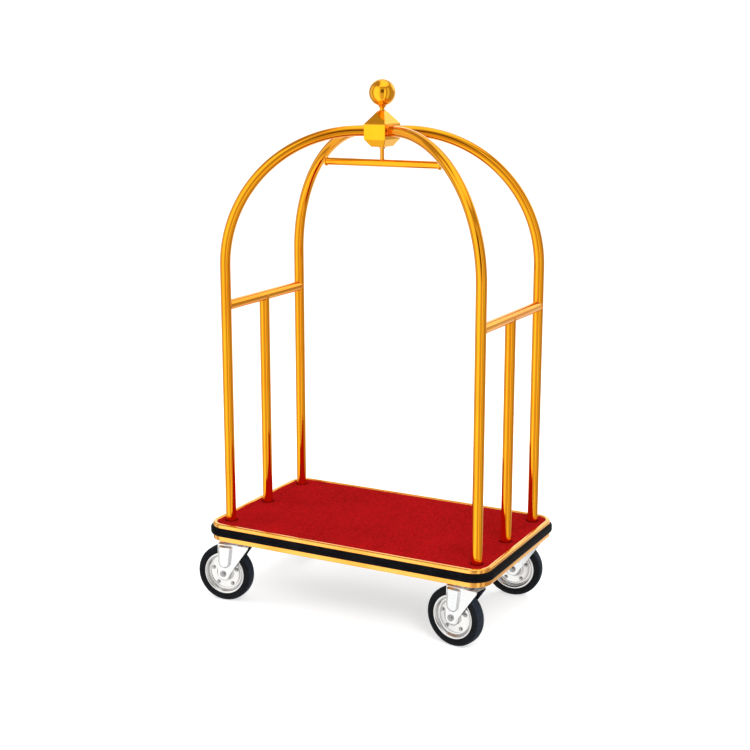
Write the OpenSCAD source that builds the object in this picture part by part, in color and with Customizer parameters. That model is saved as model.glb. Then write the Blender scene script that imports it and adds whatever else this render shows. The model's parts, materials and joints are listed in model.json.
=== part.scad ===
// Birdcage luggage cart: a carpeted platform on four swivel casters, under a cage of four bent tubes.
// Millimetres. The floor is z = 0, +X runs along the platform, and -Y is the front side.

/* [Platform] */
// Length of the platform over the rubber bumper
deck_l = 1082; // [1040:2:1160]
// Width of the platform over the rubber bumper
deck_w = 654; // [640:2:700]
// Corner radius of the bumper's outer face
corner_r = 72; // [60:1:80]
// Height of the carpet's walking face above the floor
deck_h = 292; // [286:1:310]
// Thickness of the carpet
carpet_t = 8; // [5:1:10]
// Thickness of the plywood board
board_t = 34; // [30:1:36]
// Thickness of the steel plate under the board
plate_t = 4; // [3:0.5:5]

/* [Edge trim] */
// Height of the rubber bumper
bumper_h = 30; // [26:1:34]
// Depth of the rubber bumper, from its outer face to the trim's web
bumper_t = 14; // [12:1:16]
// How far the gold lips stand back from the bumper's outer face
lip_inset = 8; // [6:1:10]
// Width of the upper lip
lip_w = 16; // [14:1:18]
// Height of the upper lip's crown above the carpet
lip_rise = 2; // [1:0.5:4]
// Height of the lower lip's outer wall
skirt_h = 17; // [12:1:19]

/* [Cage] */
// Outside diameter of the cage tubes
tube_d = 36; // [34:1:40]
// Wall of the cage tubes
tube_wall = 1.5; // [1.2:0.1:2]
// Distance of each post from the middle, along the platform
post_x = 475; // [460:1:490]
// Distance of each corner post from the middle, across the platform
post_y = 245; // [238:1:255]
// Height at which the posts start to bend
bend_z = 1197; // [1150:1:1240]
// Centreline radius of the bends
bend_r = 457; // [430:1:465]
// Height of the end crossbars
crossbar_z = 1062; // [1000:1:1100]

/* [Hub and finial] */
// Length of the hub, along the platform
hub_l = 80; // [76:1:100]
// Width of the hub, across the platform
hub_w = 114; // [100:1:120]
// Height of the hub's flat faces
hub_h = 50; // [48:1:60]
// Height of the pyramid on the hub
cap_h = 42; // [36:1:48]
// Height of the taper under the hub
hub_taper_h = 25; // [20:1:30]
// Diameter of the ball finial
ball_d = 89; // [80:1:96]
// Height of the neck under the ball
neck_h = 17; // [14:1:22]

/* [Garment rail] */
// Length of the garment rail without its end caps
rail_l = 422; // [380:2:440]
// Outside diameter of the garment rail
rail_d = 25; // [22:1:28]
// Height of the garment rail's centreline
rail_z = 1547; // [1530:1:1560]
// Diameter of the rod that holds the garment rail
rod_d = 14; // [12:1:16]

/* [Casters] */
// Distance of the swivel pins from the middle, along the platform
swivel_x = 446; // [435:1:447]
// Distance of the swivel pins from the middle, across the platform
swivel_y = 261; // [255:1:263]
// Trail: how far each axle stands behind its swivel pin
trail = 40; // [30:1:50]
// Diameter of the wheels
wheel_d = 204; // [190:1:206]
// Width of the tyres
tyre_w = 44; // [38:1:46]
// Diameter of the steel wheel discs
disc_d = 153; // [140:1:158]
// Clear width between the fork's legs
fork_gap = 52; // [50:1:56]
// Wall of the fork's legs
fork_wall = 3; // [2.5:0.5:4]
// Length of the fork's crown
crown_l = 116; // [100:1:120]
// Steer angle of the front left caster
steer_fl = 8; // [-180:1:180]
// Steer angle of the front right caster
steer_fr = -9; // [-180:1:180]
// Steer angle of the rear left caster
steer_rl = -38; // [-180:1:180]
// Steer angle of the rear right caster
steer_rr = 8; // [-180:1:180]

/* [Hidden] */
$fn = 64;

// Colours
gold = [0.98, 0.72, 0.20];
dark_gold = [0.80, 0.52, 0.14];
zinc = [0.80, 0.82, 0.85];
steel = [0.55, 0.56, 0.58];
rubber_black = [0.06, 0.06, 0.08];
carpet_red = [0.72, 0.09, 0.11];
ply = [0.72, 0.55, 0.36];

// Gaps: pieces that only touch, pins in their holes, and holes that bolts pass through
gap = 0.2;
fit = 0.05;
bolt_play = 0.3;
eps = 0.1;

// Platform levels, from the top down
board_top = deck_h - carpet_t;
board_z = board_top - board_t;
plate_z = board_z - plate_t;
lip_top = deck_h + lip_rise;
bumper_top = board_z + bumper_h;
skirt_z = board_z - skirt_h;

// Insets from the bumper's outer face
web_t = 2.7;
web_in = bumper_t + gap;
board_in = web_in + web_t + gap;
carpet_in = lip_inset + lip_w + gap;
flange_in = 40;
flange_t = 2.4;
screw_in = 28;
steel_in = flange_in + 1;

// Trim screws
screw_r = 2;
screw_head_r = 4;
screw_head_h = 2.4;
screw_l = 15;
screw_x = [-330, -150, 150, 330];
screw_y = [-120, 120];

// Stiffeners under the steel plate
stiff_w = 20;
stiff_wall = 2;
stiff_l = 740;
stiff_y = 110;

// Cage
tube_r = tube_d / 2;
bore_r = tube_r - tube_wall;
arch_z = bend_z + bend_r;
diagonal = sqrt(post_x * post_x + post_y * post_y);
foot_z = board_top + gap;
plug_h = 40;
plug_r = bore_r - fit;
post_bolt_r = 5;
post_head_r = 9.8;
post_head_h = 6.5;
washer_r = 10.5;
washer_t = 2;
bolt_pocket = post_head_h + washer_t + 0.5;
post_bolt_top = foot_z + 30;

// Hub, finial and garment rail
hub_top = arch_z + hub_h / 2 - 2;
hub_bottom = hub_top - hub_h;
taper_bottom = hub_bottom - hub_taper_h;
hub_half = [hub_l / 2, hub_w / 2];
taper_half = hub_half * 0.6;
cap_top = hub_top + cap_h;
cap_half = [12, 12];
spigot_r = bore_r - fit;
ball_r = ball_d / 2;
ball_wall = 2;
ball_z = cap_top + neck_h + ball_r - 1.5;
stud_r = 6;
stud_top = ball_z - 10;
stud_bottom = hub_bottom + 16;
grub_r = 3;
spigot_end = hub_l / 2 + 40;
grub_at = spigot_end - 14;
rod_r = rod_d / 2;
rod_top = hub_bottom + 12;
rail_r = rail_d / 2;
rail_wall = 1.5;
insert_l = 44;
cap_ring_r = rail_r + 3.5;
cap_ring_t = 6;
nut_h = 8;

// Casters
wheel_r = wheel_d / 2;
crown_z = wheel_r * 2 + 8;
crown_t = 4;
race_r = 30;
race_top = crown_z + crown_t + 5.5;
ball_ring_r = 26;
race_ball_r = 4;
race_ball_z = race_top + race_ball_r + 0.3;
cup_r = 36;
cup_bore = 32.5;
cup_z = race_top + 1.5;
cup_roof = race_ball_z + race_ball_r + 0.3;
mount_t = 4;
mount_l = 108;
mount_w = 90;
mount_z = plate_z - mount_t;
hole_x = 42;
hole_y = 32;
mount_bolt_r = 4;
mount_head_r = 7.5;
mount_head_h = 5.5;
insert_nut_r = 5.5;
insert_nut_h = 14;
kingpin_r = 6;
kingpin_nut_r = 10;
kingpin_nut_h = 8;
axle_r = 5;
axle_head_r = 9;
axle_head_h = 6;
axle_end = fork_gap / 2 + fork_wall + 9;
leg_out = fork_gap / 2 + fork_wall;
boss_r = 20;
disc_r = disc_d / 2;
bearing_r = 14;
bearing_half = fork_gap / 2 - 0.5;
bolt_circle_r = 47;
wheel_bolt_r = 3;
wheel_bolt_head_r = 5.5;
wheel_bolt_head_h = 4.5;
web_half = 7;
corners = [[-1, -1], [1, -1], [-1, 1], [1, 1]];
steer = [steer_fl, steer_fr, steer_rl, steer_rr];
foot_points = concat(
    [for (c = corners) [c[0] * post_x, c[1] * post_y]],
    [for (s = [-1, 1]) [s * post_x, 0]]
);
trim_screw_points = concat(
    [for (s = [-1, 1], x = screw_x) [x, s * (deck_w / 2 - screw_in)]],
    [for (s = [-1, 1], y = screw_y) [s * (deck_l / 2 - screw_in), y]]
);
mount_bolt_points = [
    for (c = corners, h = corners) [c[0] * swivel_x + h[0] * hole_x, c[1] * swivel_y + h[1] * hole_y]
];

// ---- shared shapes ----

// A rounded rectangle, inset from the bumper's outer face
module outline(inset) {
    r = corner_r - inset;
    l = deck_l / 2 - inset;
    w = deck_w / 2 - inset;
    square([2 * l, 2 * (w - r)], center = true);
    square([2 * (l - r), 2 * w], center = true);
    for (c = corners) translate([c[0] * (l - r), c[1] * (w - r)]) circle(r);
}

module slab(inset, z, t) {
    translate([0, 0, z]) linear_extrude(t) outline(inset);
}

// Sweeps a profile round the platform. The profile's x is its inset from the bumper's outer face.
module edge_sweep() {
    l = deck_l / 2 - corner_r;
    w = deck_w / 2 - corner_r;
    for (k = [0:3]) {
        out = k % 2 == 0 ? l : w;
        along = k % 2 == 0 ? w : l;
        rotate([0, 0, 90 * k]) translate([out, along, 0]) {
            rotate([90, 0, 0]) linear_extrude(2 * along) translate([corner_r, 0]) mirror([1, 0]) children();
            rotate_extrude(angle = 90) translate([corner_r, 0]) mirror([1, 0]) children();
        }
    }
}

// A rectangle from one inset to another and from one height to another
module band(in_0, in_1, z_0, z_1) {
    translate([in_0, z_0]) square([in_1 - in_0, z_1 - z_0]);
}

// A quarter disc that fills the same rectangle. centre_at says which end of each range its centre is on.
module round_corner(in_0, in_1, z_0, z_1, r, centre_at) {
    intersection() {
        translate([centre_at[0] == 1 ? in_1 : in_0, centre_at[1] == 1 ? z_1 : z_0]) circle(r);
        band(in_0, in_1, z_0, z_1);
    }
}

// Vertical holes through a plate
module drills(points, r, z_0, z_1) {
    for (p = points) translate([p[0], p[1], z_0 - eps]) cylinder(r = r, h = z_1 - z_0 + 2 * eps);
}

module ring(r_out, r_in, h) {
    difference() {
        cylinder(r = r_out, h = h);
        translate([0, 0, -eps]) cylinder(r = r_in, h = h + 2 * eps);
    }
}

module hex(r, h) {
    cylinder(r = r, h = h, $fn = 6);
}

// A frustum of rectangular section, cut from two crossed prisms. Each half holds [x, y].
module taper(half_0, half_1, z_0, z_1) {
    long = 2 * hub_w;
    intersection_for(k = [0, 1]) rotate([0, 0, 90 * k]) translate([0, long / 2, 0])
        rotate([90, 0, 0]) linear_extrude(long)
            polygon([[-half_0[k], z_0], [half_0[k], z_0], [half_1[k], z_1], [-half_1[k], z_1]]);
}

// ---- platform ----

module deck_board() {
    color(ply) difference() {
        slab(board_in, board_z, board_t);
        drills(foot_points, post_bolt_r + bolt_play, board_z, board_top);
        drills(foot_points, washer_r + 0.5, board_z - eps, board_z + bolt_pocket - eps);
        drills(trim_screw_points, screw_r + fit, board_z - eps, board_z + screw_l);
        drills(mount_bolt_points, insert_nut_r + fit, board_z - eps, board_z + insert_nut_h);
    }
}

module carpet() {
    color(carpet_red) difference() {
        slab(carpet_in, board_top + gap / 2, carpet_t - gap / 2);
        drills(foot_points, tube_r + 0.4, board_top, deck_h);
    }
}

// One section: the rounded upper lip and the web that backs the bumper
module top_trim_profile() {
    outer_r = 7;
    inner_r = 5;
    lip_end = lip_inset + lip_w;
    band(lip_inset, board_in - gap, bumper_top + gap, lip_top - outer_r);
    band(web_in, web_in + web_t, board_z + gap, bumper_top + 1);
    band(lip_inset + outer_r, lip_end - inner_r, board_top + gap, lip_top);
    band(lip_end - inner_r, lip_end, board_top + gap, lip_top - inner_r);
    round_corner(lip_inset, lip_inset + outer_r, lip_top - outer_r, lip_top, outer_r, [1, 0]);
    round_corner(lip_end - inner_r, lip_end, lip_top - inner_r, lip_top, inner_r, [0, 0]);
}

module top_trim() {
    color(gold) edge_sweep() top_trim_profile();
}

module bumper() {
    edge_r = 9;
    color(rubber_black) edge_sweep() {
        band(edge_r, bumper_t, board_z, bumper_top);
        band(0, edge_r, board_z + edge_r, bumper_top - edge_r);
        round_corner(0, edge_r, board_z, board_z + edge_r, edge_r, [1, 1]);
        round_corner(0, edge_r, bumper_top - edge_r, bumper_top, edge_r, [1, 0]);
    }
}

module bottom_trim() {
    wall = 2.5;
    color(gold) difference() {
        edge_sweep() {
            band(lip_inset, lip_inset + wall, skirt_z + wall, board_z - gap);
            band(lip_inset + wall, lip_inset + 8, skirt_z, skirt_z + wall);
            translate([lip_inset + wall, skirt_z + wall]) circle(wall);
            band(lip_inset, flange_in, board_z - gap - flange_t, board_z - gap);
        }
        drills(trim_screw_points, screw_r + fit, board_z - gap - flange_t, board_z);
        drills(mount_bolt_points, mount_bolt_r + bolt_play, board_z - gap - flange_t, board_z);
    }
}

module deck_plate() {
    color(steel) difference() {
        slab(steel_in, plate_z, plate_t - gap);
        drills(mount_bolt_points, mount_bolt_r + bolt_play, plate_z, board_z);
    }
}

module stiffeners() {
    color(steel) for (s = [-1, 1]) translate([-stiff_l / 2, s * stiff_y - stiff_w / 2, plate_z - stiff_w]) {
        difference() {
            cube([stiff_l, stiff_w, stiff_w]);
            translate([-eps, stiff_wall, stiff_wall])
                cube([stiff_l + 2 * eps, stiff_w - 2 * stiff_wall, stiff_w - 2 * stiff_wall]);
        }
    }
}

module trim_screws() {
    head_z = board_z - gap - flange_t - screw_head_h;
    color(steel) for (p = trim_screw_points) translate([p[0], p[1], head_z]) {
        cylinder(r = screw_head_r, h = screw_head_h);
        cylinder(r = screw_r, h = screw_head_h + flange_t + screw_l - 1);
    }
}

// ---- cage ----

// A straight post that bends over the platform in its own diagonal plane and ends at the hub's face
module post(sx, sy) {
    plane = atan2(sy * post_y, sx * post_x);
    color(gold) difference() {
        rotate([0, 0, plane]) {
            translate([diagonal, 0, foot_z]) ring(tube_r, bore_r, bend_z - foot_z);
            translate([diagonal - bend_r, 0, bend_z]) rotate([90, 0, 0])
                rotate_extrude(angle = 90) translate([bend_r, 0]) difference() {
                    circle(tube_r);
                    circle(bore_r);
                }
            translate([hub_l / 3, 0, arch_z]) rotate([0, 90, 0])
                ring(tube_r, bore_r, diagonal - bend_r - hub_l / 3);
        }
        translate([0, 0, arch_z]) cube([hub_l + gap, hub_w + gap, 2 * hub_h], center = true);
        grub_hole(plane);
    }
}

module grub_hole(plane) {
    rotate([0, 0, plane]) translate([grub_at, 0, arch_z - tube_r - eps]) cylinder(r = grub_r + fit, h = 12);
}

module mid_post(s) {
    color(gold) difference() {
        translate([s * post_x, 0, foot_z]) ring(tube_r, bore_r, crossbar_z - foot_z);
        translate([s * post_x, post_y, crossbar_z]) rotate([90, 0, 0]) cylinder(r = tube_r + gap / 2, h = 2 * post_y);
    }
}

module crossbar(s) {
    color(gold) difference() {
        translate([s * post_x, post_y, crossbar_z]) rotate([90, 0, 0]) ring(tube_r, bore_r, 2 * post_y);
        for (t = [-1, 1]) translate([s * post_x, t * post_y, foot_z]) cylinder(r = tube_r + gap / 2, h = bend_z);
    }
}

module post_plugs() {
    color(steel) difference() {
        for (p = foot_points) translate([p[0], p[1], foot_z]) cylinder(r = plug_r, h = plug_h);
        drills(foot_points, post_bolt_r + fit, foot_z, foot_z + plug_h);
    }
}

module post_bolts() {
    head_z = board_z + 0.4;
    color(steel) for (p = foot_points) translate([p[0], p[1], 0]) {
        translate([0, 0, head_z]) hex(post_head_r, post_head_h);
        translate([0, 0, head_z + post_head_h]) cylinder(r = washer_r, h = washer_t);
        translate([0, 0, head_z]) cylinder(r = post_bolt_r, h = post_bolt_top - head_z);
    }
}

// ---- hub, finial and garment rail ----

module hub_block() {
    color(gold) difference() {
        union() {
            translate([0, 0, hub_bottom + hub_h / 2]) cube([hub_l, hub_w, hub_h], center = true);
            taper(taper_half, hub_half, taper_bottom, hub_bottom);
            for (c = corners) rotate([0, 0, atan2(c[1] * post_y, c[0] * post_x)])
                translate([hub_l / 4, 0, arch_z]) rotate([0, 90, 0])
                    cylinder(r = spigot_r, h = spigot_end - hub_l / 4);
        }
        translate([0, 0, taper_bottom - eps]) cylinder(r = rod_r + fit, h = rod_top - taper_bottom + eps);
        translate([0, 0, stud_bottom]) cylinder(r = stud_r + fit, h = hub_top - stud_bottom + eps);
        for (c = corners) grub_hole(atan2(c[1] * post_y, c[0] * post_x));
    }
}

module hub_cap() {
    color(gold) difference() {
        taper(hub_half, cap_half, hub_top + gap, cap_top);
        translate([0, 0, hub_top]) cylinder(r = stud_r + fit, h = cap_h + eps);
    }
}

module hub_screws() {
    color(dark_gold) for (c = corners) rotate([0, 0, atan2(c[1] * post_y, c[0] * post_x)])
        translate([grub_at, 0, arch_z - tube_r + 0.5]) cylinder(r = grub_r, h = 10);
}

module finial_stud() {
    color(steel) translate([0, 0, stud_bottom + gap]) cylinder(r = stud_r, h = stud_top - stud_bottom - gap);
}

// A waisted collar between the pyramid and the ball
module finial_neck() {
    waist = stud_r + 2;
    top = neck_h - gap;
    color(gold) translate([0, 0, cap_top + gap]) rotate_extrude()
        polygon([
            [stud_r + fit, 0], [cap_half[0] - 1, 0], [waist + 1, 3], [waist, 5],
            [waist, top - 8], [waist + 5, top - 1.8], [stud_r + fit, top - 3.4]
        ]);
}

module finial_ball() {
    color(gold) translate([0, 0, ball_z]) difference() {
        sphere(r = ball_r);
        sphere(r = ball_r - ball_wall);
        translate([0, 0, -ball_r - 1]) cylinder(r = stud_r + fit, h = ball_r);
    }
}

module hanger_rod() {
    bottom = rail_z - rail_r + 4;
    color(gold) translate([0, 0, bottom]) cylinder(r = rod_r, h = rod_top - gap - bottom);
}

module rod_nut() {
    color(gold) translate([0, 0, taper_bottom - nut_h - gap]) difference() {
        hex(rod_r + 5, nut_h);
        translate([0, 0, -eps]) cylinder(r = rod_r + fit, h = nut_h + 2 * eps);
    }
}

module rod_hole() {
    translate([0, 0, rail_z - rail_r + 4 - gap]) cylinder(r = rod_r + fit, h = 2 * rail_r);
}

module garment_rail() {
    color(gold) difference() {
        translate([-rail_l / 2, 0, rail_z]) rotate([0, 90, 0]) ring(rail_r, rail_r - rail_wall, rail_l);
        rod_hole();
    }
}

module rail_insert() {
    color(steel) difference() {
        translate([-insert_l / 2, 0, rail_z]) rotate([0, 90, 0]) cylinder(r = rail_r - rail_wall - fit, h = insert_l);
        rod_hole();
    }
}

// A flanged plug with a domed end, turned in one piece
module rail_end_caps() {
    plug_l = 18;
    color(gold) for (s = [-1, 1]) translate([s * (rail_l / 2 + gap), 0, rail_z]) rotate([0, s * 90, 0]) {
        translate([0, 0, -plug_l]) cylinder(r = rail_r - rail_wall - fit, h = plug_l + 1);
        cylinder(r = cap_ring_r, h = cap_ring_t);
        translate([0, 0, cap_ring_t - 4]) intersection() {
            sphere(r = rail_r);
            cylinder(r = rail_r, h = rail_r);
        }
    }
}

// ---- casters ----

// Places a fixed caster piece over swivel k
module at_swivel(k) {
    translate([corners[k][0] * swivel_x, corners[k][1] * swivel_y, 0]) children();
}

// Places a piece that turns with fork k
module on_fork(k) {
    at_swivel(k) rotate([0, 0, steer[k]]) children();
}

// Places a piece on axle k, with the axle along its z
module on_axle(k) {
    on_fork(k) translate([-trail, 0, wheel_r]) rotate([90, 0, 0]) children();
}

module caster_plate(k) {
    holes = [for (h = corners) [h[0] * hole_x, h[1] * hole_y]];
    color(zinc) at_swivel(k) difference() {
        union() {
            translate([-mount_l / 2, -mount_w / 2, mount_z]) cube([mount_l, mount_w, mount_t - gap / 2]);
            translate([0, 0, cup_z]) cylinder(r = cup_r, h = mount_z + 1 - cup_z);
        }
        translate([0, 0, cup_z - eps]) cylinder(r = cup_bore, h = cup_roof - cup_z + eps);
        translate([0, 0, cup_z]) cylinder(r = kingpin_r + fit, h = plate_z - cup_z);
        drills(holes, mount_bolt_r + bolt_play, mount_z, plate_z);
    }
}

// Bolts from below, each with an insert nut set in the board
module plate_fasteners() {
    color(zinc) for (p = mount_bolt_points) translate([p[0], p[1], mount_z - mount_head_h]) {
        hex(mount_head_r, mount_head_h - gap / 2);
        cylinder(r = mount_bolt_r, h = mount_head_h + mount_t + plate_t + insert_nut_h - 2);
    }
    color(steel) for (p = mount_bolt_points) translate([p[0], p[1], board_z]) {
        ring(insert_nut_r, mount_bolt_r + fit, insert_nut_h - 1);
    }
}

module kingpins() {
    nut_z = crown_z - 0.4 - kingpin_nut_h;
    color(zinc) for (k = [0:3]) at_swivel(k) {
        translate([0, 0, nut_z]) hex(kingpin_nut_r, kingpin_nut_h);
        translate([0, 0, nut_z - 3]) cylinder(r = kingpin_r, h = plate_z - gap - nut_z + 3);
    }
}

module swivel_bearings() {
    color(steel) for (k = [0:3]) at_swivel(k) translate([0, 0, race_ball_z])
        rotate_extrude() translate([ball_ring_r, 0]) circle(race_ball_r);
}

// One leg, seen from the side: a deep crown that tapers to the axle boss
module leg_outline() {
    shoulder = [crown_l / 2, crown_z - 6];
    inner_r = boss_r - 0.4;
    reach = shoulder - [-trail, wheel_r];
    tangent = atan2(reach[1], reach[0]) - acos(inner_r / norm(reach));
    difference() {
        union() {
            translate([-trail, wheel_r]) circle(boss_r);
            polygon([
                [-crown_l / 2, crown_z + crown_t], [crown_l / 2, crown_z + crown_t], shoulder,
                [inner_r * cos(tangent) - trail, inner_r * sin(tangent) + wheel_r],
                [-trail, wheel_r], [-trail - inner_r, wheel_r]
            ]);
        }
        translate([-trail, wheel_r]) circle(axle_r + fit);
    }
}

module fork(k) {
    color(zinc) on_fork(k) difference() {
        union() {
            for (y = [-fork_gap / 2, leg_out]) translate([0, y, 0]) rotate([90, 0, 0])
                linear_extrude(fork_wall) leg_outline();
            translate([-crown_l / 2, -leg_out + 1, crown_z]) cube([crown_l, 2 * leg_out - 2, crown_t]);
            translate([0, 0, crown_z]) cylinder(r = race_r, h = race_top - crown_z);
        }
        translate([0, 0, crown_z - eps]) cylinder(r = kingpin_r + fit, h = race_top - crown_z + 2 * eps);
    }
}

// The axle bolt and its nut
module axle(k) {
    color(zinc) on_axle(k) {
        translate([0, 0, leg_out + gap]) hex(axle_head_r, axle_head_h);
        translate([0, 0, -axle_end]) cylinder(r = axle_r, h = axle_end + leg_out + axle_head_h - 1);
        translate([0, 0, -leg_out - gap - axle_head_h]) difference() {
            hex(axle_head_r, axle_head_h);
            translate([0, 0, -eps]) cylinder(r = axle_r + fit, h = axle_head_h + 2 * eps);
        }
    }
}

module tyre(k) {
    shoulder_r = 12;
    half = tyre_w / 2;
    tread_r = wheel_r - shoulder_r;
    color(rubber_black) on_axle(k) rotate_extrude() {
        translate([disc_r + fit, -half]) square([tread_r - disc_r - fit, tyre_w]);
        translate([tread_r, shoulder_r - half]) square([shoulder_r, tyre_w - 2 * shoulder_r]);
        for (s = [-1, 1]) translate([tread_r, s * (half - shoulder_r)]) circle(shoulder_r);
    }
}

// Pressed disc: a flanged rim, a recessed web with five bolt holes, and a raised hub boss
module wheel_disc(k) {
    rim_half = tyre_w / 2 - 2;
    boss_half = fork_gap / 2 - 3;
    color(zinc) on_axle(k) difference() {
        rotate_extrude() {
            translate([disc_r - 7, -rim_half]) square([7, 2 * rim_half]);
            translate([bearing_r + fit, -web_half]) square([disc_r - bearing_r - 3, 2 * web_half]);
            translate([bearing_r + fit, -boss_half]) square([11, 2 * boss_half]);
            polygon([
                [disc_r - 17, -web_half], [disc_r - 6, -rim_half + 1],
                [disc_r - 6, rim_half - 1], [disc_r - 17, web_half]
            ]);
        }
        wheel_bolt_ring() translate([0, 0, -rim_half]) cylinder(r = wheel_bolt_r + fit, h = 2 * rim_half);
    }
}

module wheel_bolt_ring() {
    for (i = [0:4]) rotate([0, 0, 72 * i + 18]) translate([bolt_circle_r, 0, 0]) children();
}

module wheel_bearing(k) {
    color(steel) on_axle(k) translate([0, 0, -bearing_half]) ring(bearing_r, axle_r + fit, 2 * bearing_half);
}

module wheel_bolts(k) {
    color(zinc) on_axle(k) wheel_bolt_ring() {
        for (s = [0, 1]) mirror([0, 0, s]) translate([0, 0, web_half + gap / 2])
            hex(wheel_bolt_head_r, wheel_bolt_head_h);
        translate([0, 0, -web_half - 5]) cylinder(r = wheel_bolt_r, h = 2 * web_half + 10);
    }
}

deck_board();
carpet();
top_trim();
bumper();
bottom_trim();
deck_plate();
stiffeners();
trim_screws();
post(-1, -1);  // post_front_left
post(1, -1);  // post_front_right
post(-1, 1);  // post_rear_left
post(1, 1);  // post_rear_right
mid_post(-1);  // mid_post_left
mid_post(1);  // mid_post_right
crossbar(-1);  // crossbar_left
crossbar(1);  // crossbar_right
post_plugs();
post_bolts();
hub_block();
hub_cap();
hub_screws();
finial_stud();
finial_neck();
finial_ball();
hanger_rod();
rod_nut();
garment_rail();
rail_insert();
rail_end_caps();
caster_plate(0);  // caster_plate_fl
caster_plate(1);  // caster_plate_fr
caster_plate(2);  // caster_plate_rl
caster_plate(3);  // caster_plate_rr
plate_fasteners();
kingpins();
swivel_bearings();
fork(0);  // fork_fl
fork(1);  // fork_fr
fork(2);  // fork_rl
fork(3);  // fork_rr
axle(0);  // axle_fl
axle(1);  // axle_fr
axle(2);  // axle_rl
axle(3);  // axle_rr
tyre(0);  // tyre_fl
tyre(1);  // tyre_fr
tyre(2);  // tyre_rl
tyre(3);  // tyre_rr
wheel_disc(0);  // wheel_disc_fl
wheel_disc(1);  // wheel_disc_fr
wheel_disc(2);  // wheel_disc_rl
wheel_disc(3);  // wheel_disc_rr
wheel_bearing(0);  // wheel_bearing_fl
wheel_bearing(1);  // wheel_bearing_fr
wheel_bearing(2);  // wheel_bearing_rl
wheel_bearing(3);  // wheel_bearing_rr
wheel_bolts(0);  // wheel_bolts_fl
wheel_bolts(1);  // wheel_bolts_fr
wheel_bolts(2);  // wheel_bolts_rl
wheel_bolts(3);  // wheel_bolts_rr
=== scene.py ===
import json
import math
import random

import bpy
from mathutils import Matrix, Vector


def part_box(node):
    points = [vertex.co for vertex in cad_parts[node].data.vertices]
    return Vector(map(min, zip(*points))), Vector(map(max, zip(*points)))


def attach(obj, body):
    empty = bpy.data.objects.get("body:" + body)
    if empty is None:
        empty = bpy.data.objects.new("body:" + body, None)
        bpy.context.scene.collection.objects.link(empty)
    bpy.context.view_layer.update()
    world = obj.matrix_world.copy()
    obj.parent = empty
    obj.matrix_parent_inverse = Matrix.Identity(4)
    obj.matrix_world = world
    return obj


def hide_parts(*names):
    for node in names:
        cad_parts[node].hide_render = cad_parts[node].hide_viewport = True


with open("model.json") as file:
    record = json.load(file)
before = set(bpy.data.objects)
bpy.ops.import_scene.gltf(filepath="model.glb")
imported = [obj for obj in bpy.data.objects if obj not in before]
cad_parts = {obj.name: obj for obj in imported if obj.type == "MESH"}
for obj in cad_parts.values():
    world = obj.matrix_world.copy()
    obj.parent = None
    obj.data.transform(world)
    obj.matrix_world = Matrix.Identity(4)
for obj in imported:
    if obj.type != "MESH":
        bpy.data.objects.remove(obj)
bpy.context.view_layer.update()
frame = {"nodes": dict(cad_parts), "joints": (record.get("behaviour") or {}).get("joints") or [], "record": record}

MM = 0.001
TAU = 2 * math.pi

# Camera, worked out from the object's proportions: heading round the object, height angle, lens and place
CAMERA_AZIMUTH = 27.733
CAMERA_ELEVATION = 12.758
CAMERA_LENS = 67.1
CAMERA_SENSOR = 36.0
CAMERA_PLACE = (2.1787, -4.1954, 1.8890)

# Sizes that the frame's boxes don't give, in metres
CORNER_R = 72 * MM            # the platform's corners, over the bumper
LIP_INSET = 8 * MM            # the gold edges, in from the bumper's face
LIP_WIDTH = 16 * MM
BEND_R = 457 * MM             # the posts' quarter bends, on the tube's middle line
HUB_RUN_END = 34 * MM         # where each post stops inside the hub, out from the middle
HUB_SIDE_H = 50 * MM          # the hub block's upright faces
FORK_GAP = 52 * MM            # clear width between a fork's legs
FORK_WALL = 3 * MM
FORK_TOP = 216 * MM           # the crown's upper face, above the floor
HALF_CROWN = 58 * MM          # half the crown's length, along the wheel
BOSS_R = 20 * MM              # the round end of each leg, about the axle
AXLE_R = 5 * MM
RIM_R = 76.5 * MM             # where the tyre sits on the disc
WEB_HALF = 10.2 * MM          # the disc's web under the bolts, out from the wheel's middle plane
BOLT_CIRCLE_R = 47 * MM
BOLTS_PER_WHEEL = 5

CASTERS = {"fl": "front_left", "fr": "front_right", "rl": "rear_left", "rr": "rear_right"}


# ---- mesh helpers ----

def make_piece(name, points, faces, slot, body="root", replaces=(), sharp=38, transform=None, values=None):
    """Builds one shaded mesh piece, hangs it on its body and hides the CAD nodes that it stands for."""
    mesh = bpy.data.meshes.new(name)
    mesh.from_pydata([tuple(p) for p in points], [], faces)
    mesh.validate()
    for attribute, data in (values or {}).items():
        kind = "FLOAT_VECTOR" if hasattr(data[0], "__len__") else "FLOAT"
        layer = mesh.attributes.new(attribute, kind, "POINT")
        for item, value in zip(layer.data, data):
            if kind == "FLOAT":
                item.value = value
            else:
                item.vector = value
    if transform is not None:
        mesh.transform(transform)
    mesh.shade_smooth()
    mesh.set_sharp_from_angle(angle=math.radians(sharp))
    mesh.materials.append(FINISHES[slot])
    piece = bpy.data.objects.new(name, mesh)
    bpy.context.scene.collection.objects.link(piece)
    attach(piece, body)
    if replaces:
        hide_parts(*replaces)
    return piece


class Shape:
    """Points and faces that are gathered before they become one piece."""

    def __init__(self):
        self.points, self.faces, self.turned = [], [], []

    def add(self, points, faces, transform=None, turned=None):
        start = len(self.points)
        self.points += [transform @ Vector(p) if transform is not None else Vector(p) for p in points]
        self.faces += [[start + i for i in face] for face in faces]
        self.turned += turned or [(0.0, 0.0, 0.0)] * len(points)

    def turn(self, profile, segments, transform=None, closed=False):
        """Adds a part turned on a lathe."""
        points, faces, turned = lathe(profile, segments, closed)
        self.add(points, faces, transform, turned)

    def piece(self, name, slot, body="root", replaces=(), sharp=38):
        return make_piece(name, self.points, self.faces, slot, body, replaces, sharp,
                          values={"turned": self.turned})


def in_mm(outline):
    return [(r * MM, h * MM) for r, h in outline]


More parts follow.
